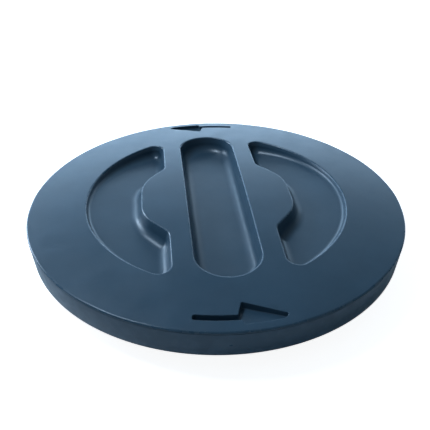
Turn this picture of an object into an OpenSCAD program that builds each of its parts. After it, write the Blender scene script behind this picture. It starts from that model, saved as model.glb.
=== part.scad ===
// Twist-lock manhole cover for a tank or inspection chamber, on its threaded neck ring.
// Origin: centre of the neck's lower end, so the whole object stands on z = 0. +Z is up.
// The long hand slot runs along Y and the two side recesses lie at +X and -X.
// The cover unscrews anticlockwise seen from above, the way its two arrows point.

/* [Cover] */
// Diameter of the cover at its rim
cover_d = 500; // [490:1:540]
// Height of the rim above the neck's lower end
rim_z = 62; // [60:1:66]
// Rise of the crowned top from the rim to the middle
crown = 14; // [6:1:16]
// Height of the skirt below the rim
skirt_h = 36; // [34:1:38]
// How much the skirt narrows towards its lower edge
skirt_taper = 3; // [2:0.5:6]
// Wall thickness of both plastic skins
wall = 5; // [4:0.5:5]

/* [Hand slot and side recesses] */
// Depth of the slot's floor below the rim
pan_drop = 14; // [10:1:14]
// Width of the central hand slot
slot_w = 80; // [70:1:84]
// Length of the central hand slot
slot_l = 350; // [300:1:350]
// Distance of the slot's middle from the cover's middle
slot_shift = 5; // [0:1:5]
// Depth of a recess floor below the rim, where it meets the bar
recess_drop = 12; // [8:1:12]
// Slope of the recess floors, which rise outwards, in degrees
recess_slope = 6.3; // [4:0.1:6.5]
// Radius of the outer edge of each side recess
recess_r = 183; // [176:1:184]
// How far each recess arc's centre lies past the cover's middle
recess_shift = 10; // [8:1:14]
// Half-length of each side recess
recess_half_l = 155; // [140:1:156]
// Distance from the middle to the inner edge of a recess at its ends
bar_x = 67; // [62:1:72]
// Distance from the middle to the inner edge of a recess at the grip
grip_x = 101; // [92:1:106]
// Half-length of the grip bulge where it is widest
grip_half_l = 40; // [30:1:46]
// Half-length of the grip bulge where it starts
grip_foot_l = 81; // [72:1:90]
// How far the grip bulges lie off the middle of the bars
grip_shift = -4; // [-6:1:0]

/* [Turn arrows] */
// Length of an arrow's shaft
arrow_shaft_l = 50; // [40:1:54]
// Length of an arrow's head
arrow_head_l = 53; // [40:1:54]
// Depth of the arrow pockets at the shaft's outer edge
arrow_depth = 6; // [5:1:7]
// Distance of a shaft's outer edge from the middle
arrow_out_r = 234; // [232:1:236]
// Distance of a head's outer edge from the middle
arrow_head_r = 239.5; // [237:0.5:239.5]
// Width of an arrow's shaft
arrow_shaft_w = 7; // [6:1:10]
// Distance of an arrow's barb from the middle
arrow_barb_r = 209.5; // [206:0.5:214]

/* [Thread] */
// Rise of the cover for one whole turn
lead = 100; // [92:1:100]
// Number of thread starts
starts = 4; // [3:1:4]
// Outer radius of the cover's plug
plug_r = 184; // [184:0.5:185]
// Height of the thread above the wall that carries it
thread_h = 8; // [6:0.5:8]
// Thickness of the thread where it leaves the wall
thread_root = 8; // [6:0.5:8]
// Thickness of the thread at its edge
thread_tip = 5; // [3:0.5:5]
// Arc of each thread on the cover, in degrees
male_arc = 65; // [40:1:65]
// Arc of each thread in the neck, in degrees
female_arc = 72; // [40:1:72]

/* [Neck ring] */
// Inner radius of the neck
neck_in_r = 194; // [194:0.5:195]
// Outer radius of the neck and its spigot
neck_r = 200; // [200:0.5:201]
// Height of the neck's upper edge
neck_h = 38; // [38:0.5:38.5]
// Outer radius of the flange
flange_r = 224; // [222:1:226]
// Height of the flange's lower face
flange_z = 13; // [13:0.5:14]
// Thickness of the flange
flange_t = 8; // [6:0.5:8]
// Thickness of the gasket under the flange
gasket_t = 3; // [2:0.5:4]
// Thickness of the steel ring on the flange
backing_t = 4; // [3:0.5:4]
// Number of bolt holes
bolt_n = 8; // [6:2:12]
// Radius of the bolt holes
bolt_hole_r = 4.5; // [3.5:0.5:4.5]
// Radius of the circle of bolt holes
bolt_circle_r = 212; // [211:0.5:213]

/* [Screws that hold the two skins together] */
// Number of screws
screw_n = 8; // [4:4:16]
// Radius of the circle of screws
screw_circle_r = 225; // [222:1:228]
// Radius of a screw's shank
screw_r = 2.95; // [2:0.05:2.95]

/* [Hidden] */
$fn = 128;

R = cover_d / 2;
PLASTIC = [0.26, 0.36, 0.45];
DARK_PLASTIC = [0.20, 0.28, 0.36];
RUBBER = [0.08, 0.08, 0.09];
STEEL = [0.72, 0.73, 0.75];
BRASS = [0.78, 0.62, 0.30];
FOAM = [0.90, 0.84, 0.66];

lip_t = 2;                                // the top skin's edge, which lies on the skirt's upper edge
lip_w = 6.2;
seam_z = rim_z - lip_t;
pan_z = rim_z - pan_drop;                 // floor of the slot
crown_steps = 10;                         // straight steps that make up the crowned profile
skirt_z = rim_z - skirt_h;
deck_z = neck_h + 4;                      // underside of the cover over the neck's edge
deck_top = deck_z + wall;
plug_z = 6;                               // lower face of the plug
plug_in_r = plug_r - wall;
drip_in_r = neck_r + 3;                   // rib outside the neck that keeps the seal in place
drip_w = 3;
drip_h = 6;
rib_h = 4;                                // stiffening ribs under the plug
rib_w = 5;
rib_n = 8;
hub_r = 40;
gap = 0.3;                                // space left between the insulation and the skins

thread_step = 5;                          // degrees between the sections of a thread
thread_root_depth = 2;                    // how far a thread goes into its wall
male_z = 13;                              // height of the lower end of a thread on the cover
thread_rest_gap = 1;                      // space between the two threads when closed
female_z = male_z + (thread_root + thread_tip) / 2 + thread_rest_gap;
female_start = -27.5;                     // where a thread in the neck starts, in degrees

boss_r = 7.5;
insert_r = 4.5;
insert_h = 9;
insert_clear = 0.1;
screw_hole_r = screw_r + 0.35;
washer_r = 6.5;
washer_t = 1.4;
head_r = 5.6;
head_h = 3.4;
head_socket_r = 2.3;
head_socket_d = 1.8;
screw_l = 14;

spigot_r = neck_r - 2;                    // the free lower end, which goes into the riser
spigot_l = flange_z - gasket_t - 1;
seal_in_r = neck_in_r - 2.5;
seal_out_r = neck_r + 2;
seal_slack = 0.2;
shoulder_r = seal_in_r - 0.5;             // out to here the deck dips under the pans

// Height of the crowned top at a distance r from the middle
function crown_z(r) = rim_z + crown * (1 - r * r / R / R);

// Slope of the skirt: radius of its outer face at height z
function skirt_r(z) = R - skirt_taper * (seam_z - z) / (seam_z - skirt_z);

// Height at which the sloping side of a grip, moved in by g, crosses the line x
function grip_side_y(x, g) =
    let (dx = grip_x - bar_x, dy = grip_foot_l - grip_half_l, len = sqrt(dx * dx + dy * dy))
    grip_foot_l - dy * (x - bar_x) / dx - g * len / dx;

module around(n, r) {
    for (i = [0 : n - 1])
        rotate([0, 0, (i + 0.5) * 360 / n])
            translate([r, 0, 0])
                children();
}

// Outline of the hand slot, grown by g all round
module slot_outline(g = 0) {
    half = slot_l / 2 - slot_w / 2;
    translate([0, slot_shift]) {
        square([slot_w + 2 * g, 2 * half], center = true);
        for (s = [-1, 1])
            translate([0, s * half])
                circle(r = slot_w / 2 + g);
    }
}

// Outline of the recess at +X, grown by g all round: an arc outside, the grip bar's edge inside
module recess_outline(g = 0) {
    x0 = bar_x - g;
    x1 = grip_x - g;
    y0 = grip_side_y(x0, g);
    y1 = grip_side_y(x1, g);
    s = grip_shift;
    far = recess_r;
    difference() {
        intersection() {
            translate([-recess_shift, 0])
                circle(r = recess_r + g);
            translate([0, -recess_half_l - g])
                square([R, 2 * (recess_half_l + g)]);
        }
        polygon([[-far, -far], [x0, -far], [x0, s - y0], [x1, s - y1], [x1, s + y1], [x0, s + y0],
            [x0, far], [-far, far]]);
    }
}

// Outline of the arrow at -Y, pointing towards +X, grown by g all round
module arrow_outline(g = 0) {
    inner = arrow_out_r - arrow_shaft_w;
    tip_y = arrow_out_r - 5;
    difference() {
        intersection() {
            circle(r = arrow_out_r + g);
            translate([-arrow_shaft_l - g, -R])
                square([arrow_shaft_l + g + 2, R - arrow_barb_r]);
        }
        circle(r = inner - g);
    }
    intersection() {
        circle(r = arrow_head_r + g);
        polygon([[-g, -R], [-g, -inner], [4 - g, -arrow_barb_r + 1.5 * g], [arrow_head_l + g, -tip_y + g],
            [arrow_head_l - 5 + g, -tip_y - 6 - g], [arrow_head_l - 9 + g, -R]]);
    }
}

// The recess at +X with its sloping floor, its outline grown by g and its floor lowered by g
module recess_pan(g = 0) {
    low = rim_z - recess_drop;
    intersection() {
        translate([0, 0, low - 2 * wall])
            linear_extrude(height = 2 * wall + recess_drop + crown + 10)
                recess_outline(g);
        translate([bar_x, 0, low - g])
            rotate([0, -recess_slope, 0])
                translate([-R, -R, 0])
                    cube([2 * R, 2 * R, R]);
    }
}

// Everything that is sunk into the top: the slot, both recesses and both arrows.
// The outlines are grown by g and their floors are lowered by g.
module sunk_shapes(g = 0) {
    top = rim_z + crown + 10;
    translate([0, 0, pan_z - g])
        linear_extrude(height = top - pan_z + g)
            slot_outline(g);
    recess_pan(g);
    mirror([1, 0, 0])
        recess_pan(g);
    arrow_z = crown_z(arrow_out_r) - arrow_depth;
    for (a = [0, 180])
        rotate([0, 0, a])
            translate([0, 0, arrow_z - g])
                linear_extrude(height = top - arrow_z + g)
                    arrow_outline(g);
}

// Solid under the crowned top, lowered by drop, from height z0 up, out to radius r
module under_crown(z0, r, drop = 0) {
    rotate_extrude()
        polygon(concat([[0, z0]], [[r, z0]],
            [for (i = [crown_steps : -1 : 0]) [r * i / crown_steps, crown_z(r * i / crown_steps) - drop]]));
}

module top_shell() {
    color(PLASTIC)
        difference() {
            union() {
                difference() {
                    union() {
                        under_crown(seam_z, R);
                        translate([0, 0, seam_z - wall])
                            cylinder(r = R - lip_w, h = wall);
                    }
                    under_crown(seam_z - 2 * wall, R - lip_w - wall, wall);
                }
                intersection() {
                    sunk_shapes(wall);
                    under_crown(0, R - lip_w - wall, 1);
                }
                around(screw_n, screw_circle_r)
                    translate([0, 0, deck_top])
                        cylinder(r = boss_r, h = rim_z - deck_top, $fn = 32);
            }
            sunk_shapes();
            around(screw_n, screw_circle_r)
                translate([0, 0, deck_top - 1])
                    cylinder(r = insert_r, h = insert_h + 1, $fn = 32);
        }
}

// A helical thread of the given arc. It stands out from radius r by h, inwards when h is negative.
module thread(r, h, arc, z0) {
    root = r - sign(h) * thread_root_depth;
    tip = r + h;
    n = ceil(arc / thread_step);
    section = [[root, -thread_root / 2], [tip, -thread_tip / 2], [tip, thread_tip / 2], [root, thread_root / 2]];
    points = [for (i = [0 : n]) for (p = section)
        let (a = arc * i / n) [p[0] * cos(a), p[0] * sin(a), z0 + lead * a / 360 + p[1]]];
    sides = [for (i = [0 : n - 1]) for (j = [0 : 3])
        let (k = (j + 1) % 4, a = 4 * i + j, b = 4 * i + k)
            each h > 0 ? [[a, b, a + 4], [b, b + 4, a + 4]] : [[a, a + 4, b], [b, a + 4, b + 4]]];
    last = 4 * n;
    ends = h > 0
        ? [[2, 1, 0], [3, 2, 0], [last, last + 1, last + 2], [last, last + 2, last + 3]]
        : [[0, 1, 2], [0, 2, 3], [last + 2, last + 1, last], [last + 3, last + 2, last]];
    polyhedron(points, concat(sides, ends));
}

module base_shell() {
    color(DARK_PLASTIC)
        difference() {
            union() {
                rotate_extrude()
                    polygon([[R, seam_z], [skirt_r(skirt_z), skirt_z], [skirt_r(skirt_z) - wall, skirt_z],
                        [skirt_r(deck_z) - wall, deck_z], [drip_in_r + drip_w, deck_z],
                        [drip_in_r + drip_w, deck_z - drip_h], [drip_in_r, deck_z - drip_h],
                        [drip_in_r, deck_z], [shoulder_r, deck_z], [shoulder_r, deck_z - wall],
                        [plug_r, deck_z - wall], [plug_r, plug_z], [0, plug_z], [0, plug_z + wall],
                        [plug_in_r, plug_z + wall], [plug_in_r, deck_z], [shoulder_r - wall, deck_z],
                        [shoulder_r - wall, deck_top],
                        [skirt_r(deck_top) - wall, deck_top], [R - wall, seam_z]]);
                for (i = [0 : starts - 1])
                    rotate([0, 0, i * 360 / starts])
                        thread(plug_r, thread_h, male_arc, male_z);
                translate([0, 0, plug_z - rib_h]) {
                    cylinder(r = hub_r, h = rib_h + 1);
                    for (i = [0 : rib_n - 1])
                        rotate([0, 0, i * 360 / rib_n])
                            translate([0, -rib_w / 2, 0])
                                cube([plug_in_r, rib_w, rib_h + 1]);
                }
            }
            translate([0, 0, plug_z - rib_h - 1])
                cylinder(r = hub_r - rib_w, h = rib_h + 1);
            around(screw_n, screw_circle_r)
                translate([0, 0, deck_z - 1])
                    cylinder(r = screw_hole_r, h = wall + 2, $fn = 32);
        }
}

module foam_core() {
    color(FOAM)
        difference() {
            union() {
                translate([0, 0, plug_z + wall + gap])
                    cylinder(r = plug_in_r - gap, h = deck_top - plug_z - wall);
                under_crown(deck_top + gap, R - lip_w - 2 * wall - gap, wall + gap);
            }
            sunk_shapes(wall + gap);
            around(screw_n, screw_circle_r)
                translate([0, 0, deck_top - 1])
                    cylinder(r = boss_r + gap, h = rim_z, $fn = 32);
        }
}

module shell_screws() {
    head_z = deck_z - washer_t - head_h;
    color(STEEL)
        around(screw_n, screw_circle_r)
            difference() {
                translate([0, 0, head_z]) {
                    cylinder(r = head_r, h = head_h, $fn = 32);
                    cylinder(r = screw_r, h = head_h + screw_l, $fn = 32);
                }
                translate([0, 0, head_z - 1])
                    cylinder(r = head_socket_r, h = head_socket_d + 1, $fn = 6);
            }
}

module screw_washers() {
    color(STEEL)
        around(screw_n, screw_circle_r)
            translate([0, 0, deck_z - washer_t])
                difference() {
                    cylinder(r = washer_r, h = washer_t, $fn = 32);
                    translate([0, 0, -1])
                        cylinder(r = screw_hole_r, h = washer_t + 2, $fn = 32);
                }
}

module boss_inserts() {
    color(BRASS)
        around(screw_n, screw_circle_r)
            translate([0, 0, deck_top])
                difference() {
                    cylinder(r = insert_r, h = insert_h, $fn = 32);
                    translate([0, 0, -1])
                        cylinder(r = screw_r + insert_clear, h = insert_h + 2, $fn = 32);
                }
}

module seal_ring() {
    color(RUBBER)
        rotate_extrude()
            polygon([[seal_in_r, neck_h + seal_slack], [seal_out_r, neck_h + seal_slack],
                [seal_out_r, deck_z - seal_slack], [seal_in_r, deck_z - seal_slack]]);
}

// Ring from radius r0 to r1 with the circle of bolt holes through it
module bolted_ring(r0, r1, z, h) {
    translate([0, 0, z])
        difference() {
            cylinder(r = r1, h = h);
            translate([0, 0, -1])
                cylinder(r = r0, h = h + 2);
            around(bolt_n, bolt_circle_r)
                translate([0, 0, -1])
                    cylinder(r = bolt_hole_r, h = h + 2, $fn = 32);
        }
}

module neck_ring() {
    color(DARK_PLASTIC)
        union() {
            difference() {
                union() {
                    cylinder(r = spigot_r, h = neck_h);
                    translate([0, 0, spigot_l])
                        cylinder(r = neck_r, h = neck_h - spigot_l);
                }
                translate([0, 0, -1])
                    cylinder(r = neck_in_r, h = neck_h + 2);
            }
            bolted_ring(neck_r - 1, flange_r, flange_z, flange_t);
            for (i = [0 : starts - 1])
                rotate([0, 0, i * 360 / starts + female_start])
                    thread(neck_in_r, -thread_h, female_arc, female_z + lead * female_start / 360);
        }
}

module backing_ring() {
    color(STEEL)
        bolted_ring(neck_r + 0.5, flange_r - 1, flange_z + flange_t, backing_t);
}

module flange_gasket() {
    color(RUBBER)
        bolted_ring(neck_r + 0.5, flange_r - 1, flange_z - gasket_t, gasket_t);
}

top_shell();
base_shell();
foam_core();
shell_screws();
screw_washers();
boss_inserts();
seal_ring();
neck_ring();
backing_ring();
flange_gasket();
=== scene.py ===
"""A twist-lock manhole cover of dark blue-grey polyethylene, screwed into its neck ring.

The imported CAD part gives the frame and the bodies. The main sizes below repeat its own, and the edge and
bottom radii are added here. Every visible skin is made of grids of two parameters, such as outlines offset
by g millimetres and carried down a profile of edge radius, drafted wall and bottom radius. Shapes are worked
out in millimetres and turned to metres when the mesh is made.
"""
import math

import bmesh
import bpy
import numpy as np
from mathutils import Matrix, Vector
from mathutils.geometry import delaunay_2d_cdt


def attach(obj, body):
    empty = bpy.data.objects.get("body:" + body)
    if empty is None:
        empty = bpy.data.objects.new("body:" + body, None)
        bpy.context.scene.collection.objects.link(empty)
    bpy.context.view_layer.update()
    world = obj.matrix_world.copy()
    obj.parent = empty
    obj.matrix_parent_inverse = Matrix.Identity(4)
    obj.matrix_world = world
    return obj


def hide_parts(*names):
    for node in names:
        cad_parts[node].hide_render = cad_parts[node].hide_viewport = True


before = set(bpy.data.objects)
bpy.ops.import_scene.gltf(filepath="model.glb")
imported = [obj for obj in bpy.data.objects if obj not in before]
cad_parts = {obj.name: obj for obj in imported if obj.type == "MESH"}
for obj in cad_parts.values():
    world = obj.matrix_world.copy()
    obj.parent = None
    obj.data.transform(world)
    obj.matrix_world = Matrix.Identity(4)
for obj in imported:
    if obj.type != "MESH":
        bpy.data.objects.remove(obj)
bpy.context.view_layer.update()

MM = 0.001

# ---------------------------------------------------------------- sizes of the cover, in millimetres
COVER_R = 250.0                                   # radius at the rim
RIM_Z = 62.0                                      # height of the rim above the neck's lower end
CROWN = 14.0                                      # rise of the top from the rim to the middle
WALL = 5.0
SLOT_Z = RIM_Z - 14.0                             # floor of the slot
RECESS_Z = RIM_Z - 12.0                           # floor of a recess where it meets the bar
RECESS_SLOPE = 0.1104                             # rise of a recess floor outwards
SEAM_Z = RIM_Z - 2.0                              # where the two skins meet, just under the rim
SKIRT_Z = RIM_Z - 36.0
SKIRT_TAPER = 3.0
RIM_EDGE = 2.4                                    # radius of the rim's edge

SLOT_HALF_W = 40.0
SLOT_HALF_L = 175.0
SLOT_SHIFT = 5.0
RECESS_R = 183.0
RECESS_SHIFT = 10.0
BAR_X = 67.0
GRIP_X = 101.0
GRIP_HALF_L = 40.0
GRIP_FOOT_L = 81.0
GRIP_SHIFT = -4.0                                 # how far the grips lie off the middle of the bars
TIP_RADIUS = 14.0                                 # corners of a recess outline
FOOT_RADIUS = 14.0
GRIP_RADIUS = 68.0
LEAST_RADIUS = 2.5

EDGE_RADIUS = 2.4                                 # profile of a pan: edge, wall, bottom
WALL_DRAFT = 2.6
BOTTOM_RADIUS = 14.0
SUPPORT = 0.9                                     # width of the flat band that holds each radius crisp

ARROW_BACK = -50.0                                # ends of an arrow along its length
ARROW_TIP = (53.0, -229.0)
ARROW_BARB = (4.0, -209.5)
ARROW_OUT_R = 234.0                               # outer and inner edge of the shaft
ARROW_IN_R = 227.0
ARROW_HEAD_R = 239.5                              # outer edge of the head
ARROW_DEPTH = 6.0                                 # below the top, at the shaft's outer edge

DECK_Z = 42.0                                     # underside of the cover over the neck's edge
PLUG_R = 184.0
PLUG_Z = 6.0
SHOULDER_R = 191.0                                # out to here the deck dips under the pans
DRIP_IN_R = 203.0
DRIP_OUT_R = 206.0
DRIP_Z = 36.0
RIB_H = 4.0
RIB_N = 8
RIB_HALF_W = 2.5
HUB_R = 40.0

LEAD = 100.0                                      # rise for one whole turn
STARTS = 4
THREAD_H = 8.0
PLUG_THREAD_DEG = 65.0                            # angle that one thread takes up
PLUG_THREAD_Z = 13.0                              # height of its lower end
NECK_THREAD_DEG = 72.0
NECK_THREAD_START = -27.5
NECK_THREAD_Z = 20.5                              # height at angle zero

NECK_IN_R = 194.0
NECK_R = 200.0
NECK_H = 38.0
SPIGOT_R = 198.0
SPIGOT_L = 9.0
FLANGE_R = 224.0
FLANGE_Z = 13.0
FLANGE_T = 8.0
BOLT_N = 8
BOLT_R = 4.5
BOLT_CIRCLE_R = 212.0
BACKING_IN_R = 200.5
BACKING_OUT_R = 223.0
BACKING_T = 4.0

SEAL_IN_R = 191.5
SEAL_OUT_R = 202.0
SEAL_Z = 38.2
SEAL_TOP_Z = 41.4
LIP_IN_R = 197.0                                  # the lip on the seal's upper face
LIP_OUT_R = 200.0
LIP_H = 0.4
LIP_SLANT = 0.6

SCREW_N = 8
SCREW_CIRCLE_R = 225.0
SCREW_R = 2.95
SCREW_TIP_R = 2.4
SCREW_TIP_L = 0.7
SCREW_L = 14.0                                    # from the head to the tip
HEAD_R = 5.6
HEAD_H = 3.4
SOCKET_R = 2.3
SOCKET_H = 1.8
WASHER_R = 6.5
WASHER_HOLE_R = 3.2
WASHER_T = 1.4


# ---------------------------------------------------------------- outlines

def arc(centre, radius, a0, a1, n, end=False):
    """n points on a circle from angle a0 to a1 in radians, the last one left out unless end is set."""
    a = np.linspace(a0, a1, n + (0 if end else 1))[: n]
    return np.stack([centre[0] + radius * np.cos(a), centre[1] + radius * np.sin(a)], 1)


def line(p, q, n):
    """n points from p towards q, q itself left out."""
    t = np.arange(n)[:, None] / n
    return np.array(p) * (1 - t) + np.array(q) * t


def corner(before, at, after, radius, n):
    """n points of the arc of that radius that rounds the corner `at`, both tangent points included."""
    u = before - at
    v = after - at
    u = u / np.linalg.norm(u)
    v = v / np.linalg.norm(v)
    half = 0.5 * math.acos(float(np.clip(u @ v, -1, 1)))
    start = at + u * radius / math.tan(half)
    middle = at + (u + v) / np.linalg.norm(u + v) * radius / math.sin(half)
    a0 = math.atan2(*(start - middle)[::-1])
    turn = math.pi - 2 * half
    side = 1.0 if u[0] * v[1] - u[1] * v[0] < 0 else -1.0
    return arc(middle, radius, a0, a0 + side * turn, n, end=True)


def slot_outline(g=0.0):
    """The hand slot moved inwards by g: two half circles joined by straight sides."""
    r = SLOT_HALF_W - g
    half = SLOT_HALF_L - SLOT_HALF_W
    top = SLOT_SHIFT + half
    low = SLOT_SHIFT - half
    return np.concatenate([
        line((r, low), (r, top), 36), arc((0, top), r, 0, math.pi, 44),
        line((-r, top), (-r, low), 36), arc((0, low), r, math.pi, 2 * math.pi, 44)])


def recess_outline(g=0.0):
    """The recess at +X moved inwards by g: an outer arc, rounded tips and the grip bar's stepped edge."""
    x0 = BAR_X + g
    x1 = GRIP_X + g
    side = np.array([GRIP_FOOT_L - GRIP_HALF_L, GRIP_X - BAR_X])
    side = side / np.linalg.norm(side)
    reach = side @ np.array([BAR_X, GRIP_FOOT_L]) + g
    foot_y = (reach - side[0] * x0) / side[1]
    knee_y = (reach - side[0] * x1) / side[1]
    out_r = RECESS_R - g
    tip_r = max(TIP_RADIUS - g, LEAST_RADIUS)
    tip_x = x0 + tip_r
    tip_y = math.sqrt((out_r - tip_r) ** 2 - (tip_x + RECESS_SHIFT) ** 2)
    tip_angle = math.atan2(tip_y, tip_x + RECESS_SHIFT)
    halves = []
    for shift in (GRIP_SHIFT, -GRIP_SHIFT):
        foot = np.array([x0, foot_y + shift])
        knee = np.array([x1, knee_y + shift])
        foot_arc = corner(np.array([x0, tip_y]), foot, knee, max(FOOT_RADIUS - g, LEAST_RADIUS), 12)
        knee_arc = corner(foot, knee, np.array([x1, 0.0]), GRIP_RADIUS + g, 18)
        halves.append(np.concatenate([
            arc((-RECESS_SHIFT, 0), out_r, 0, tip_angle, 70),
            arc((tip_x, tip_y), tip_r, tip_angle, math.pi, 18),
            line((x0, tip_y), foot_arc[0], 12), foot_arc,
            line(foot_arc[-1], knee_arc[0], 10)[1:], knee_arc,
            line(knee_arc[-1], (x1, shift), 8)[1:], [[x1, shift]]]))
    upper, lower = halves
    return np.concatenate([upper, lower[-2:0:-1] * [1, -1]])


def left_recess_outline(g=0.0):
    """The recess at -X, the mirror image of the one at +X, still anticlockwise."""
    return recess_outline(g)[::-1] * [-1, 1]


def moved_in(p, g):
    """A closed anticlockwise polygon with every side moved inwards by g."""
    d = np.roll(p, -1, 0) - p
    n = np.stack([-d[:, 1], d[:, 0]], 1) / np.linalg.norm(d, axis=1)[:, None]
    m = np.roll(n, 1, 0)
    return p + g * (n + m) / (1 + (n * m).sum(1))[:, None]


def arrow_outline(g=0.0):
    """The arrow at -Y, pointing to +X: a curved shaft, and a head with long inner and short outer barbs."""
    quarter = math.pi / 2
    back = math.asin(ARROW_BACK / ARROW_OUT_R)
    shaft = arc((0, 0), ARROW_OUT_R, back - quarter, 0.01 - quarter, 6, end=True)
    head = arc((0, 0), ARROW_HEAD_R, 0.016 - quarter, math.asin(47.0 / ARROW_HEAD_R) - quarter, 7, end=True)
    inner = arc((0, 0), ARROW_IN_R, -0.006 - quarter, back - quarter, 6, end=True)
    p = np.concatenate([shaft, head, [ARROW_TIP, ARROW_BARB], inner])
    n, m = len(shaft), len(shaft) + len(head)
    radii = np.zeros(len(p))
    for k, r in ((0, 2.0), (n, 1.6), (m - 1, 3.0), (m, 1.8), (m + 1, 1.8), (len(p) - 1, 2.0)):
        radii[k] = max(r - g, 0.35)
    for k in (n - 1, m + 2):
        radii[k] = 1.2 + g
    p = moved_in(p, g)
    parts = []
    for k, r in enumerate(radii):
        if r:
            parts.append(corner(p[k - 1], p[k], p[(k + 1) % len(p)], r, 6))
        else:
            parts.append(p[k: k + 1])
    return np.concatenate(parts)


def back_arrow_outline(g=0.0):
    """The arrow at +Y: the same one turned by half a turn."""
    return -arrow_outline(g)


# ---------------------------------------------------------------- surfaces

def crown_z(x, y):
    """Height of the crowned top: a shallow paraboloid."""
    return RIM_Z + CROWN * (1 - (x * x + y * y) / COVER_R ** 2)


def inside(poly, p):
    """Which points p lie inside a closed polygon, by counting crossings."""
    a = poly[:, None, :]
    b = np.roll(poly, -1, 0)[:, None, :]
    x, y = p[None, :, 0], p[None, :, 1]
    spans = (a[..., 1] > y) != (b[..., 1] > y)
    with np.errstate(divide="ignore", invalid="ignore"):
        cross = a[..., 0] + (y - a[..., 1]) * (b[..., 0] - a[..., 0]) / (b[..., 1] - a[..., 1])
    return (spans & (x < cross)).sum(0) % 2 == 1


def sheet_between(outer, holes, pitch):
    """Triangles that fill the outer outline outside the holes, with a hexagonal net of points pitch apart."""
    edge = np.concatenate([outer] + holes)
    centre = (outer.max(0) + outer.min(0)) / 2
    reach = (outer.max(0) - outer.min(0)) / 2
    ny = int(reach[1] / (pitch * 0.866)) + 1
    nx = int(reach[0] / pitch) + 1
    gx, gy = np.meshgrid(np.arange(-nx, nx + 1) * pitch, np.arange(-ny, ny + 1) * pitch * 0.866)
    gx = gx + (np.arange(-ny, ny + 1)[:, None] % 2) * pitch / 2
    net = np.stack([gx.ravel(), gy.ravel()], 1) + centre
    keep = inside(outer, net)
    for h in holes:
        keep &= ~inside(h, net)
    net = net[keep]
    far = np.sqrt(((net[:, None] - edge[None]) ** 2).sum(2)).min(1) > pitch * 0.55
    net = net[far]
    points = np.concatenate([edge, net])
    links, at = [], 0
    for c in [outer] + holes:
        links += [(at + i, at + (i + 1) % len(c)) for i in range(len(c))]
        at += len(c)
    found = delaunay_2d_cdt([Vector(q) for q in points], links, [], 0, 1e-7)
    v = np.array([tuple(q) for q in found[0]])
    f = np.array(found[2])
    mid = v[f].mean(1)
    keep = inside(outer, mid)
    for h in holes:
        keep &= ~inside(h, mid)
    return v, f[keep]


class Skin:
    """Collects grids and faces, with a mask of how much each point is an edge, and makes one mesh of them."""

    def __init__(self):
        self.v, self.f, self.rub, self.pan, self.n = [], [], [], [], 0

    def add(self, v, f, rub=0.0, pan=0.0):
        """Adds points v and faces f, with their masks of rubbed edges and of depth in a pan."""
        self.v.append(v)
        self.f += [[k + self.n for k in face] for face in (f if isinstance(f, list) else f.tolist())]
        self.rub.append(np.broadcast_to(rub, len(v)))
        self.pan.append(np.broadcast_to(pan, len(v)))
        self.n += len(v)

    def grid(self, p, rub=0.0, pan=0.0, closed=True):
        """p is rows by columns by 3. The columns close on themselves if closed is set."""
        rows, cols = p.shape[:2]
        i = np.arange(rows * cols).reshape(rows, cols)
        j = np.roll(i, -1, 1)
        a, b, c, d = i[:-1], j[:-1], j[1:], i[1:]
        q = np.stack([a, b, c, d], 2)
        if not closed:
            q = q[:, :-1]
        shape = (rows, cols)
        rub = np.broadcast_to(np.asarray(rub, float), shape) if np.ndim(rub) != 1 else np.repeat(rub, cols)
        pan = np.broadcast_to(np.asarray(pan, float), shape) if np.ndim(pan) != 1 else np.repeat(pan, cols)
        self.add(p.reshape(-1, 3), q.reshape(-1, 4), np.ravel(rub), np.ravel(pan))

    def piece(self, name, smooth_angle=None):
        """Makes the collected faces one object in metres, its seams joined and its normals outward."""
        mesh = bpy.data.meshes.new(name)
        mesh.from_pydata(np.concatenate(self.v) * MM, [], self.f)
        for key, values in (("edge_rub", self.rub), ("pan_depth", self.pan)):
            at = mesh.attributes.new(key, "FLOAT", "POINT")
            at.data.foreach_set("value", np.concatenate(values).astype(np.float32))
        work = bmesh.new()
        work.from_mesh(mesh)
        bmesh.ops.remove_doubles(work, verts=work.verts, dist=2e-6)
        bmesh.ops.dissolve_degenerate(work, edges=work.edges, dist=1e-7)
        bmesh.ops.recalc_face_normals(work, faces=work.faces)
        work.to_mesh(mesh)
        work.free()
        mesh.shade_smooth()
        if smooth_angle:
            mesh.set_sharp_from_angle(angle=math.radians(smooth_angle))
        obj = bpy.data.objects.new(name, mesh)
        bpy.context.scene.collection.objects.link(obj)
        return obj


def slot_floor(x, y):
    """Height of the slot's flat floor."""
    return SLOT_Z + 0 * x


def recess_floor(x, y):
    """Height of a recess's floor: a plane that rises outwards from the bar."""
    return RECESS_Z + RECESS_SLOPE * (np.abs(x) - BAR_X)


def arrow_floor(x, y):
    """Height of an arrow's flat floor."""
    return crown_z(0, ARROW_OUT_R) - ARROW_DEPTH + 0 * x


def pan_profile(edge, draft, bottom):
    """Steps across a pan's side as (inward offset, drop from the top, rise from the floor, rub mask).

    The first steps hang from the top and the last ones stand on the floor. Of drop and rise, the one that a
    step doesn't use is None."""
    steps = [(-edge - SUPPORT, 0.0, None, 0.0)]
    for a in np.radians(np.linspace(0, 84, 8)):
        rub = math.sin(2 * a) ** 0.5 if a else 0
        steps.append((-edge + edge * math.sin(a), edge * (1 - math.cos(a)), None, rub))
    for a in np.radians(np.linspace(4, 90, 13)):
        steps.append((draft + bottom * (1 - math.cos(a)), None, bottom * (1 - math.sin(a)), 0.0))
    steps.append((draft + bottom + SUPPORT, None, 0.0, 0.0))
    return steps


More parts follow.
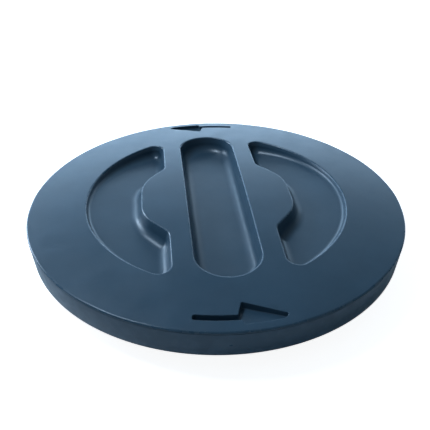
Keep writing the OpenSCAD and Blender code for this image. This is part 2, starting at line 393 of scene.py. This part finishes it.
def sink(skin, outline, floor, edge, draft, bottom, pitch):
    """Carries an outline down a pan's profile and fills its floor. Returns the outline's first ring.

    Where the pan is shallow, the wall and the bottom radius shrink together to fit its depth."""
    rows, rubs, pans = [], [], []
    lip = outline(0.0)
    depth = crown_z(lip[:, 0], lip[:, 1]) - floor(lip[:, 0], lip[:, 1])
    share = np.clip((depth - edge) / (1.15 * bottom), 0.15, 1.0)
    for g, drop, rise, rub in pan_profile(edge, draft, bottom):
        c = outline(g) if g <= 0 else lip + share[:, None] * (outline(g) - lip)
        top = crown_z(c[:, 0], c[:, 1])
        low = floor(c[:, 0], c[:, 1])
        z = top - drop if rise is None else low + rise * share
        rows.append(np.column_stack([c, z]))
        rubs.append(np.full(len(c), rub))
        pans.append(np.clip((top - z) / 20.0, 0, 1))
    skin.grid(np.array(rows), np.array(rubs), np.array(pans))
    v, f = sheet_between(rows[-1][:, :2], [], pitch)
    z = floor(v[:, 0], v[:, 1])
    skin.add(np.column_stack([v, z]), f, 0.0, np.clip((crown_z(v[:, 0], v[:, 1]) - z) / 20.0, 0, 1))
    return rows[0][:, :2]


def ring_wave(a, seed):
    """A small smooth wander round the rim, between about -1 and 1."""
    r = np.random.default_rng(seed)
    w = sum(np.sin(k * a + r.uniform(0, 6.28)) * r.uniform(0.5, 1) for k in (3, 5, 8, 13, 19, 27))
    return w / 3.0


RIM_COLUMNS = 480


def around(n=RIM_COLUMNS):
    """n angles spread evenly round the circle, in radians."""
    return np.arange(n) * 2 * math.pi / n


def turned(profile, columns=RIM_COLUMNS):
    """A profile of (radius, height) turned about the middle: rows by columns by 3."""
    p = np.asarray(profile, float)
    a = around(columns)
    return np.stack([p[:, :1] * np.cos(a), p[:, :1] * np.sin(a), np.repeat(p[:, 1:], columns, 1)], 2)


def top_skin():
    """The crowned top with its slot, recesses and arrows, the rim's edge, and the hidden underside."""
    skin = Skin()
    pans = [(slot_outline, slot_floor, EDGE_RADIUS, WALL_DRAFT, BOTTOM_RADIUS),
            (recess_outline, recess_floor, EDGE_RADIUS, WALL_DRAFT, BOTTOM_RADIUS),
            (left_recess_outline, recess_floor, EDGE_RADIUS, WALL_DRAFT, BOTTOM_RADIUS),
            (arrow_outline, arrow_floor, 0.7, 0.2, 1.0), (back_arrow_outline, arrow_floor, 0.7, 0.2, 1.0)]
    holes = [sink(skin, outline, floor, edge, draft, bottom, 12.0)
             for outline, floor, edge, draft, bottom in pans]
    a = around()
    edge = RIM_EDGE + 0.7 * ring_wave(a, 4)
    rows, rubs = [], []
    flat_r = COVER_R - 4.2
    rows.append(np.stack([flat_r * np.cos(a), flat_r * np.sin(a), np.full(len(a), crown_z(flat_r, 0))], 1))
    rubs.append(0.0)
    for t in np.radians(np.linspace(0, 86, 8)):
        r = COVER_R - edge * (1 - math.sin(t))
        z = crown_z(COVER_R - edge, 0) - edge * (1 - math.cos(t)) + 0 * a
        rows.append(np.stack([r * np.cos(a), r * np.sin(a), z], 1))
        rubs.append(math.sin(2 * t) ** 0.5 if t else 0.0)
    low = SEAM_Z + 0.25
    for r, z in ((COVER_R, low - 0.55), (COVER_R - 0.5, low - 1.0), (COVER_R - 5.3, low - 1.0),
                 (COVER_R - 5.3, SEAM_Z - WALL)):
        rows.append(np.stack([r * np.cos(a), r * np.sin(a), np.full(len(a), z)], 1))
        rubs.append(0.0)
    rows = np.array(rows)
    skin.grid(rows, np.array(rubs))
    v, f = sheet_between(rows[0][:, :2], holes, 8.0)
    skin.add(np.column_stack([v, crown_z(v[:, 0], v[:, 1])]), f)
    # the underside: the same outlines grown by the wall, closed by their own floors
    under = []
    for outline, floor, _, _, _ in pans:
        c = outline(-3.0)
        under.append(c)
        skin.grid(np.array([np.column_stack([c, crown_z(c[:, 0], c[:, 1]) - WALL]),
                            np.column_stack([c, floor(c[:, 0], c[:, 1]) - WALL + 0.5])]))
        v, f = sheet_between(c, [], 16.0)
        skin.add(np.column_stack([v, floor(v[:, 0], v[:, 1]) - WALL + 0.5]), f)
    v, f = sheet_between(rows[-1][:, :2], under, 14.0)
    at_rim = np.hypot(v[:, 0], v[:, 1]) > COVER_R - 6
    low_z = np.where(at_rim, SEAM_Z - WALL, crown_z(v[:, 0], v[:, 1]) - WALL)
    skin.add(np.column_stack([v, low_z]), f)
    return skin.piece("top_skin")


def skirt_r(z):
    """Radius of the skirt's outer face at height z."""
    return COVER_R - SKIRT_TAPER * (SEAM_Z - z) / (SEAM_Z - SKIRT_Z)


def thread_grid(r, h, arc_deg, a0, z0, root=8.0, tip=5.0, sink_in=1.0, steps=60):
    """One turn-in thread: a rounded section carried along a helix, run out to nothing at both ends."""
    side = np.sign(h)
    half = np.array([[-sink_in * side, root / 2 + 0.6], [0.4 * side, root / 2], [h - side, tip / 2 + 0.4],
                     [h, tip / 2 - 0.9]])
    section = np.concatenate([half * [1, -1], half[::-1]])
    t = np.linspace(0, 1, steps)
    run = np.clip(np.minimum(t, 1 - t) / 0.10, 0, 1)
    run = np.sin(run * math.pi / 2)
    a = np.radians(a0 + arc_deg * t)
    z = z0 + LEAD * arc_deg * t / 360
    rise = section[None, :, 0] * run[:, None] - sink_in * side * (1 - run)[:, None]
    thick = section[None, :, 1] * (0.35 + 0.65 * run)[:, None]
    rr = r + rise
    p = np.stack([rr * np.cos(a)[:, None], rr * np.sin(a)[:, None], z[:, None] + thick], 2)
    middle = p.mean(1, keepdims=True) + 0 * p
    return np.concatenate([middle[:1], p, middle[-1:]])


def block_grid(p0, p1, half_w, z0, z1, edge=0.8):
    """A straight rib from p0 to p1 with rounded lower edges: a section carried along a line, its ends shut."""
    p0, p1 = np.array(p0, float), np.array(p1, float)
    d = (p1 - p0) / np.linalg.norm(p1 - p0)
    n = np.array([-d[1], d[0]])
    turn = np.radians(np.linspace(0, 90, 5))
    left = np.column_stack([-half_w + edge * (1 - np.cos(turn)), z0 + edge * (1 - np.sin(turn))])
    section = np.concatenate([[[-half_w, z1]], left, left[::-1] * [-1, 1], [[half_w, z1]]])
    shut = np.column_stack([section[:, 0] * 0, np.full(len(section), (z0 + z1) / 2)])
    rows = []
    for q, s in ((p0, shut), (p0, section), (p1, section), (p1, shut)):
        rows.append(np.column_stack([q[0] + n[0] * s[:, 0], q[1] + n[1] * s[:, 0], s[:, 1]]))
    return np.array(rows)


def turned_closed(skin, profile, columns=RIM_COLUMNS):
    """Adds a closed profile turned about the middle, with a mask on its rounded corners."""
    p = turned(np.vstack([profile, profile[:1]]), columns)
    d = np.diff(np.vstack([profile[-1:], profile, profile[:1]]), axis=0)
    d = d / np.maximum(np.linalg.norm(d, axis=1), 1e-9)[:, None]
    bend = np.degrees(np.arccos(np.clip((d[:-1] * d[1:]).sum(1), -1, 1)))
    out = d[:-1, 0] * d[1:, 1] - d[:-1, 1] * d[1:, 0] > 0
    rub = np.where((bend > 6) & out, 1.0, 0.0)
    skin.grid(p, np.append(rub, rub[0]))


def closed_round(corners, steps=5):
    """A closed profile through (radius, height, corner radius) points, each corner rounded by its own arc."""
    pts = [np.array(c[:2], float) for c in corners]
    out = []
    for k, c in enumerate(corners):
        if c[2]:
            out += list(corner(pts[k - 1], pts[k], pts[(k + 1) % len(pts)], c[2], steps))
        else:
            out.append(pts[k])
    return np.array(out)


def base_skin():
    """The skirt, the deck, the drip rib and the hollow plug, with its threads and the ribs under it."""
    skin = Skin()
    low = skirt_r(SKIRT_Z)
    inner = PLUG_R - WALL
    body = closed_round([
        (COVER_R - 0.15, SEAM_Z - 0.9, 0.6), (COVER_R - WALL, SEAM_Z - 0.9, 0),
        (skirt_r(DECK_Z + WALL) - WALL, DECK_Z + WALL, 0),
        (SHOULDER_R - WALL, DECK_Z + WALL, 0), (SHOULDER_R - WALL, DECK_Z, 0), (inner, DECK_Z, 0),
        (inner, PLUG_Z + WALL, 0), (HUB_R, PLUG_Z + WALL, 0), (HUB_R, PLUG_Z, 0),
        (PLUG_R, PLUG_Z, 3.0), (PLUG_R, DECK_Z - WALL, 1.2), (SHOULDER_R, DECK_Z - WALL, 1.5),
        (SHOULDER_R, DECK_Z, 0.8), (DRIP_IN_R, DECK_Z, 0.8), (DRIP_IN_R, DRIP_Z, 1.0),
        (DRIP_OUT_R, DRIP_Z, 1.0), (DRIP_OUT_R, DECK_Z, 0.8), (skirt_r(DECK_Z) - WALL, DECK_Z, 2.0),
        (low - WALL, SKIRT_Z, 1.6), (low, SKIRT_Z, 1.6)])
    turned_closed(skin, body)
    disc = closed_round([(0.5, PLUG_Z, 0), (HUB_R + 0.5, PLUG_Z, 0), (HUB_R + 0.5, PLUG_Z + WALL, 0),
                         (0.5, PLUG_Z + WALL, 0)])
    hub = closed_round([(HUB_R - 2 * RIB_HALF_W, PLUG_Z - RIB_H, 1.0), (HUB_R, PLUG_Z - RIB_H, 1.0),
                        (HUB_R, PLUG_Z + 1, 0), (HUB_R - 2 * RIB_HALF_W, PLUG_Z + 1, 0)])
    turned_closed(skin, disc, 96)
    turned_closed(skin, hub, 160)
    for i in range(RIB_N):
        a = 2 * math.pi * i / RIB_N
        d = np.array([math.cos(a), math.sin(a)])
        skin.grid(block_grid(d * (HUB_R - 2), d * (inner - 2), RIB_HALF_W, PLUG_Z - RIB_H, PLUG_Z + 1))
    for i in range(STARTS):
        skin.grid(thread_grid(PLUG_R, THREAD_H, PLUG_THREAD_DEG, i * 360.0 / STARTS, PLUG_THREAD_Z))
    return skin.piece("base_skin", 40)


def ring_plate(skin, in_r, out_r, z0, z1, edge, holes=True):
    """A flat ring with rounded edges and bolt holes: two faces, joined by a turned wall at each circle."""
    turn = np.radians(np.linspace(0, 90, 4))
    face_out, face_in = out_r - edge, in_r + edge
    centres = [2 * math.pi * (i + 0.5) / BOLT_N for i in range(BOLT_N)] if holes else []

    def walls(r, grow, centre, n):
        """The rounded wall of one cylinder. Returns the outline of its lowest ring.

        grow is 1 where the ring's matter is inside the cylinder and -1 where it is outside."""
        r_low = r - grow * edge * (1 - np.sin(turn))
        z_low = z0 + edge * (1 - np.cos(turn))
        prof_r = np.concatenate([r_low, r_low[::-1]])
        prof_z = np.concatenate([z_low, (z0 + z1 - z_low)[::-1]])
        a = np.arange(n) * 2 * math.pi / n
        p = np.stack([centre[0] + prof_r[:, None] * np.cos(a), centre[1] + prof_r[:, None] * np.sin(a),
                      np.repeat(prof_z[:, None], n, 1)], 2)
        skin.grid(p, np.where(np.abs(prof_r - r) > 0.02, 1.0, 0.2))
        return p[0, :, :2]

    outer = walls(out_r, 1, (0, 0), 240)
    inner = [walls(in_r, -1, (0, 0), 240)]
    for a in centres:
        inner.append(walls(BOLT_R, -1, (BOLT_CIRCLE_R * math.cos(a), BOLT_CIRCLE_R * math.sin(a)), 28))
    v, f = sheet_between(outer, inner, 9.0)
    for z in (z0, z1):
        skin.add(np.column_stack([v, np.full(len(v), z)]), f)


def neck_skin():
    """The neck with its spigot, its drilled flange and the threads inside it."""
    skin = Skin()
    turned_closed(skin, closed_round([
        (NECK_IN_R, 0, 1.0), (SPIGOT_R, 0, 1.0), (SPIGOT_R, SPIGOT_L, 0.4), (NECK_R, SPIGOT_L, 0.4),
        (NECK_R, FLANGE_Z + FLANGE_T, 1.0), (NECK_R, NECK_H, 1.0), (NECK_IN_R, NECK_H, 1.0)]))
    ring_plate(skin, NECK_R - 3, FLANGE_R, FLANGE_Z, FLANGE_Z + FLANGE_T, 0.9)
    low = NECK_THREAD_Z + LEAD * NECK_THREAD_START / 360
    for i in range(STARTS):
        start = NECK_THREAD_START + i * 360.0 / STARTS
        skin.grid(thread_grid(NECK_IN_R, -THREAD_H, NECK_THREAD_DEG, start, low))
    return skin.piece("neck_skin", 40)


def backing_skin():
    """The steel ring that spreads the load of the bolts over the flange."""
    skin = Skin()
    low = FLANGE_Z + FLANGE_T
    ring_plate(skin, BACKING_IN_R, BACKING_OUT_R, low, low + BACKING_T, 0.35)
    return skin.piece("backing_skin", 40)


def gasket_skin():
    """The flat rubber gasket under the flange."""
    skin = Skin()
    ring_plate(skin, 200.5, 223.0, FLANGE_Z - 3, FLANGE_Z, 0.3)
    return skin.piece("gasket_skin", 40)


def seal_skin():
    """The seal on the neck's edge: a flat ring with a raised lip on its upper face."""
    skin = Skin()
    lip_z = SEAL_TOP_Z + LIP_H
    turned_closed(skin, closed_round([
        (SEAL_IN_R, SEAL_Z, 0.8), (SEAL_OUT_R, SEAL_Z, 0.8), (SEAL_OUT_R, SEAL_TOP_Z, 0.8),
        (LIP_OUT_R, SEAL_TOP_Z, 0.3), (LIP_OUT_R - LIP_SLANT, lip_z, 0.3), (LIP_IN_R + LIP_SLANT, lip_z, 0.3),
        (LIP_IN_R, SEAL_TOP_Z, 0.3), (SEAL_IN_R, SEAL_TOP_Z, 0.8)]))
    return skin.piece("seal_skin", 50)


def bolt_circle(part, name, smooth_angle):
    """Copies of a part, a function of a Skin, set round the circle of screws and made one piece."""
    one = Skin()
    part(one)
    v = np.concatenate(one.v)
    rub = np.concatenate(one.rub)
    skin = Skin()
    for i in range(SCREW_N):
        a = 2 * math.pi * (i + 0.5) / SCREW_N
        c, s = math.cos(a), math.sin(a)
        turn = np.array([[c, s, 0], [-s, c, 0], [0, 0, 1]])
        skin.add((v + [SCREW_CIRCLE_R, 0, 0]) @ turn, one.f, rub)
    return skin.piece(name, smooth_angle)


def screw_part(skin):
    """A flat-headed screw with a hexagon socket, its head below the deck."""
    n = 48
    turn = np.radians(np.linspace(0, 90, 5))
    top = DECK_Z - WASHER_T
    head_z = top - HEAD_H
    socket_z = head_z + SOCKET_H
    end = top + SCREW_L
    prof = np.concatenate([
        np.column_stack([HEAD_R - 0.5 * (1 - np.sin(turn)), head_z + 0.5 * (1 - np.cos(turn))]),
        [[HEAD_R, top], [SCREW_R, top], [SCREW_R, end - SCREW_TIP_L], [SCREW_TIP_R, end], [0, end]]])
    skin.grid(turned(prof, n), np.array([0, 1, 1, 1, 0, 0, 0, 0, 0, 0]))
    side = math.pi / 3
    hexagon = np.concatenate([line(SOCKET_R * np.array([math.cos(a), math.sin(a)]),
                                   SOCKET_R * np.array([math.cos(a + side), math.sin(a + side)]), 6)
                              for a in np.arange(6) * side])
    v, f = sheet_between(turned(prof[:1], n)[0, :, :2], [hexagon], 3.0)
    skin.add(np.column_stack([v, np.full(len(v), head_z)]), f)
    skin.grid(np.array([np.column_stack([hexagon, np.full(len(hexagon), z)]) for z in (head_z, socket_z)]))
    v, f = sheet_between(hexagon, [], 2.0)
    skin.add(np.column_stack([v, np.full(len(v), socket_z)]), f)


def washer_part(skin):
    """A flat washer with rounded edges."""
    low = DECK_Z - WASHER_T
    profile = closed_round([(WASHER_HOLE_R, low, 0.2), (WASHER_R, low, 0.35), (WASHER_R, DECK_Z, 0.35),
                            (WASHER_HOLE_R, DECK_Z, 0.2)], 3)
    turned_closed(skin, profile, 48)


# ---------------------------------------------------------------- materials

def group(name, ins, outs):
    """An empty node group with these input and output sockets, each (name, kind, default)."""
    tree = bpy.data.node_groups.new(name, "ShaderNodeTree")
    for way, sockets in (("INPUT", ins), ("OUTPUT", outs)):
        for label, kind, default in sockets:
            made = tree.interface.new_socket(name=label, in_out=way, socket_type="NodeSocket" + kind)
            if default is not None:
                made.default_value = default
    return tree, tree.nodes.new("NodeGroupInput"), tree.nodes.new("NodeGroupOutput")


def node(tree, kind, values=None, links=None, **props):
    """A node with its properties, socket values and incoming links set."""
    made = tree.nodes.new("ShaderNode" + kind)
    for key, value in props.items():
        setattr(made, key, value)
    for key, value in (values or {}).items():
        made.inputs[key].default_value = value
    for key, source in (links or {}).items():
        tree.links.new(source, made.inputs[key])
    return made


def noise(tree, where, scale, detail=4.0, rough=0.55):
    """A noise value at the point where."""
    made = node(tree, "TexNoise", {"Scale": scale, "Detail": detail, "Roughness": rough}, {"Vector": where})
    return made.outputs["Fac"]


def ramp(tree, value, low, high, to_low=0.0, to_high=1.0):
    """A smooth change of value from low to high, mapped on to_low to to_high."""
    made = node(tree, "MapRange", {"From Min": low, "From Max": high, "To Min": to_low, "To Max": to_high},
                {"Value": value}, interpolation_type="SMOOTHSTEP")
    return made.outputs["Result"]


def times(tree, a, b, how="MULTIPLY"):
    """Two values multiplied, or joined the way that how names."""
    made = node(tree, "Math", operation=how)
    for k, x in enumerate((a, b)):
        if isinstance(x, (int, float)):
            made.inputs[k].default_value = x
        else:
            tree.links.new(x, made.inputs[k])
    return made.outputs["Value"]


def make_fine_grain():
    """Moulded surface: a leathery grain over a slow swell. Puts out its height as a value and as a normal."""
    tree, gi, go = group("fine_grain", [("Size", "Float", 900.0), ("Strength", "Float", 0.1)],
                         [("Value", "Float", None), ("Normal", "Vector", None)])
    where = node(tree, "TexCoord").outputs["Object"]
    grain = node(tree, "TexNoise", {"Detail": 3.0, "Roughness": 0.6},
                 {"Vector": where, "Scale": gi.outputs["Size"]})
    swell = noise(tree, where, 26.0, 2.0)
    height = times(tree, grain.outputs["Fac"], times(tree, swell, 0.5), "ADD")
    bump = node(tree, "Bump", {"Distance": 0.0006}, {"Height": height, "Strength": gi.outputs["Strength"]})
    tree.links.new(grain.outputs["Fac"], go.inputs["Value"])
    tree.links.new(bump.outputs["Normal"], go.inputs["Normal"])
    return tree


def make_edge_wear():
    """Where handling has polished the edges: the edge mask of the mesh broken up by noise."""
    tree, gi, go = group("edge_wear", [("Amount", "Float", 0.5)], [("Mask", "Float", None)])
    where = node(tree, "TexCoord").outputs["Object"]
    rub = node(tree, "Attribute", attribute_name="edge_rub").outputs["Fac"]
    broken = ramp(tree, noise(tree, where, 70.0, 5.0), 0.42, 0.62, 0.35, 1.0)
    mask = times(tree, times(tree, rub, broken), gi.outputs["Amount"])
    tree.links.new(mask, go.inputs["Mask"])
    return tree


def make_dust():
    """Dust on faces that look up, thicker in hollows and in soft patches."""
    tree, gi, go = group("dust", [("Amount", "Float", 0.3)], [("Mask", "Float", None)])
    where = node(tree, "TexCoord").outputs["Object"]
    up = node(tree, "SeparateXYZ", links={"Vector": node(tree, "NewGeometry").outputs["Normal"]}).outputs["Z"]
    deep = node(tree, "Attribute", attribute_name="pan_depth").outputs["Fac"]
    patch = ramp(tree, noise(tree, where, 9.0, 6.0, 0.65), 0.35, 0.75)
    speck = ramp(tree, noise(tree, where, 420.0, 2.0), 0.60, 0.72)
    lie = ramp(tree, up, 0.3, 0.95)
    body = times(tree, times(tree, patch, times(tree, deep, 0.6, "ADD")), times(tree, speck, 0.5), "ADD")
    tree.links.new(times(tree, times(tree, lie, body), gi.outputs["Amount"]), go.inputs["Mask"])
    return tree


GRAIN = make_fine_grain()
WEAR = make_edge_wear()
DUST = make_dust()


def use(tree, shared, **values):
    """A shared node group put into a material, with its inputs set."""
    made = tree.nodes.new("ShaderNodeGroup")
    made.node_tree = shared
    for key, value in values.items():
        made.inputs[key].default_value = value
    return made


def mixed(tree, mask, a, b):
    """Colour a turning into colour b where the mask is one."""
    made = node(tree, "Mix", data_type="RGBA")
    for k, x in ((6, a), (7, b)):
        if isinstance(x, tuple):
            made.inputs[k].default_value = (*x, 1.0)
        else:
            tree.links.new(x, made.inputs[k])
    tree.links.new(mask, made.inputs[0])
    return made.outputs[2]


def surface(name, colour, worn, rough, size, strength, wear, dust, dirt=(0.30, 0.29, 0.27), metallic=0.0,
            mottle=0.08, rough_spread=0.12, specular=0.5):
    """A Principled material with mottled colour, rubbed edges, dust and grain, all on object coordinates."""
    mat = bpy.data.materials.new(name)
    mat.use_nodes = True
    tree = mat.node_tree
    tree.nodes.clear()
    out = tree.nodes.new("ShaderNodeOutputMaterial")
    where = node(tree, "TexCoord").outputs["Object"]
    grain = use(tree, GRAIN, Size=size, Strength=strength)
    rubbed = use(tree, WEAR, Amount=wear)
    dusty = use(tree, DUST, Amount=dust)
    cloud = noise(tree, where, 14.0, 5.0, 0.6)
    dark = tuple(c * (1 - mottle) for c in colour)
    light = tuple(min(c * (1 + mottle), 1.0) for c in colour)
    base = mixed(tree, ramp(tree, cloud, 0.3, 0.7), dark, light)
    base = mixed(tree, rubbed.outputs["Mask"], base, worn)
    base = mixed(tree, dusty.outputs["Mask"], base, dirt)
    spread = rough_spread / 2
    gloss = ramp(tree, noise(tree, where, 33.0, 4.0), 0.3, 0.7, rough - spread, rough + spread)
    gloss = times(tree, gloss, times(tree, rubbed.outputs["Mask"], -0.25), "ADD")
    gloss = times(tree, gloss, times(tree, dusty.outputs["Mask"], 0.4), "ADD")
    shader = node(tree, "BsdfPrincipled", {"Metallic": metallic, "Specular IOR Level": specular},
                  {"Base Color": base, "Roughness": gloss, "Normal": grain.outputs["Normal"]})
    tree.links.new(shader.outputs["BSDF"], out.inputs["Surface"])
    return mat


def dress(obj, mat, body, slot, *nodes):
    """Gives a piece its material; where it stands for CAD nodes, puts it under its body and hides those nodes.
    The slot is not used.
    """
    obj.data.materials.clear()
    obj.data.materials.append(mat)
    if nodes:
        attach(obj, body)
        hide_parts(*nodes)
    return obj


top_plastic = surface("top_plastic", (0.028, 0.064, 0.098), (0.05, 0.095, 0.14), 0.34, 1100.0, 0.08, 0.5,
                      0.03, rough_spread=0.06)
base_plastic = surface("base_plastic", (0.027, 0.062, 0.095), (0.05, 0.095, 0.14), 0.40, 1100.0, 0.08, 0.4,
                       0.02, rough_spread=0.06)
neck_plastic = surface("neck_plastic", (0.030, 0.034, 0.040), (0.06, 0.065, 0.07), 0.48, 900.0, 0.08, 0.4,
                       0.08)
rubber = surface("rubber", (0.012, 0.012, 0.013), (0.03, 0.03, 0.03), 0.62, 1500.0, 0.06, 0.3, 0.12)
zinc = surface("zinc", (0.55, 0.57, 0.60), (0.68, 0.69, 0.70), 0.42, 500.0, 0.05, 0.3, 0.05, metallic=1.0)
steel = surface("steel", (0.60, 0.60, 0.62), (0.72, 0.72, 0.73), 0.30, 900.0, 0.02, 0.3, 0.03, metallic=1.0)
brass = surface("brass", (0.60, 0.42, 0.16), (0.72, 0.55, 0.28), 0.32, 900.0, 0.02, 0.3, 0.0, metallic=1.0)
foam = surface("foam", (0.78, 0.68, 0.44), (0.80, 0.72, 0.50), 0.85, 600.0, 0.3, 0.1, 0.0)

dress(top_skin(), top_plastic, "cover", "cover_top_plastic", "top_shell")
dress(base_skin(), base_plastic, "cover", "cover_base_plastic", "base_shell")
dress(seal_skin(), rubber, "seal", "seal_rubber", "seal_ring")
dress(neck_skin(), neck_plastic, "neck", "neck_plastic", "neck_ring")
dress(backing_skin(), zinc, "neck", "galvanised_steel", "backing_ring")
dress(gasket_skin(), rubber, "neck", "seal_rubber", "flange_gasket")
dress(bolt_circle(screw_part, "screws", 30), steel, "cover", "stainless_steel", "shell_screws")
dress(bolt_circle(washer_part, "washers", 40), steel, "cover", "stainless_steel", "screw_washers")
dress(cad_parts["boss_inserts"], brass, "cover", "brass")
dress(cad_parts["foam_core"], foam, "cover", "insulation")

# ---------------------------------------------------------------- stage, light and camera

def sweep():
    """A pale floor that curves up into a glowing wall behind, brightest low down."""
    turn = np.radians(np.linspace(0, 90, 24))
    y = np.concatenate([[-4.0], 1.6 + 0.9 * np.sin(turn), [2.5]])
    z = np.concatenate([[0.0], 0.9 * (1 - np.cos(turn)), [4.0]])
    x = np.array([-4.0, 4.0])
    v = np.stack([np.repeat(x[None], len(y), 0), np.repeat(y[:, None], 2, 1), np.repeat(z[:, None], 2, 1)], 2)
    i = np.arange(len(y) * 2).reshape(len(y), 2)
    faces = np.stack([i[:-1, 0], i[:-1, 1], i[1:, 1], i[1:, 0]], 1)
    mesh = bpy.data.meshes.new("sweep")
    mesh.from_pydata(v.reshape(-1, 3), [], faces.tolist())
    mesh.shade_smooth()
    obj = bpy.data.objects.new("sweep", mesh)
    bpy.context.scene.collection.objects.link(obj)
    mat = bpy.data.materials.new("paper")
    mat.use_nodes = True
    tree = mat.node_tree
    shader = tree.nodes["Principled BSDF"]
    where = node(tree, "TexCoord").outputs["Object"]
    axes = node(tree, "SeparateXYZ", links={"Vector": where}).outputs
    tone = mixed(tree, noise(tree, where, 3.0, 3.0), (0.84, 0.85, 0.86), (0.86, 0.87, 0.88))
    tree.links.new(tone, shader.inputs["Base Color"])
    shader.inputs["Roughness"].default_value = 0.9
    shader.inputs["Specular IOR Level"].default_value = 0.1
    seen = node(tree, "LightPath").outputs["Is Camera Ray"]
    far = ramp(tree, axes["Y"], 0.4, 1.6)
    wall = times(tree, ramp(tree, axes["Z"], 0.45, 1.55, WALL_GLOW, 0.05), far)
    wall = times(tree, wall, ramp(tree, axes["X"], 0.2, 1.8, 1.0, 0.6))
    tree.links.new(mixed(tree, far, (1.0, 1.0, 1.0), GLOW), shader.inputs["Emission Color"])
    glow = times(tree, wall, times(tree, seen, FLOOR_GLOW), "ADD")
    tree.links.new(glow, shader.inputs["Emission Strength"])
    mesh.materials.append(mat)


def lamp(name, place, aim, size, power, colour=(1.0, 1.0, 1.0)):
    """A rectangular soft light at place, in metres, facing the point aim."""
    data = bpy.data.lights.new(name, "AREA")
    data.shape = "RECTANGLE"
    data.size, data.size_y = size
    data.energy = power
    data.color = colour
    obj = bpy.data.objects.new(name, data)
    obj.location = place
    obj.rotation_mode = "QUATERNION"
    obj.rotation_quaternion = (Vector(aim) - Vector(place)).to_track_quat("-Z", "Y")
    obj.visible_camera = False
    bpy.context.scene.collection.objects.link(obj)


GLOW = (0.50, 0.74, 1.0)
FLOOR_GLOW = 0.90
WALL_GLOW = 3.2
PANEL_COLOUR = (0.62, 0.80, 1.0)
sweep()
lamp("side", (-1.50, 1.05, 0.62), (0, 0, 0.06), (0.7, 0.9), 21.0, PANEL_COLOUR)
lamp("high", (-0.92, 0.30, 1.80), (0, 0, 0.06), (0.6, 0.6), 22.0, PANEL_COLOUR)

world = bpy.data.worlds.new("room")
world.use_nodes = True
world.node_tree.nodes["Background"].inputs["Color"].default_value = (0.62, 0.84, 1.0, 1.0)
world.node_tree.nodes["Background"].inputs["Strength"].default_value = 0.16
bpy.context.scene.world = world

camera = bpy.data.cameras.new("camera")
camera.lens = 48.4
camera.sensor_width = 36.0
camera.clip_start = 0.02
view_from = bpy.data.objects.new("camera", camera)
pitch, heading, roll = math.radians(-33.72), math.radians(6.26), math.radians(0.23)
ahead = Vector((math.sin(heading) * math.cos(pitch), math.cos(heading) * math.cos(pitch), math.sin(pitch)))
view_from.location = (-0.0740, -0.6635, 0.4836)
view_from.rotation_mode = "QUATERNION"
view_from.rotation_quaternion = ahead.to_track_quat("-Z", "Y") @ Matrix.Rotation(roll, 3, "Z").to_quaternion()
bpy.context.scene.collection.objects.link(view_from)
bpy.context.scene.camera = view_from

bpy.context.scene.view_settings.view_transform = "Standard"
bpy.context.scene.view_settings.look = "None"
bpy.context.scene.render.film_transparent = False
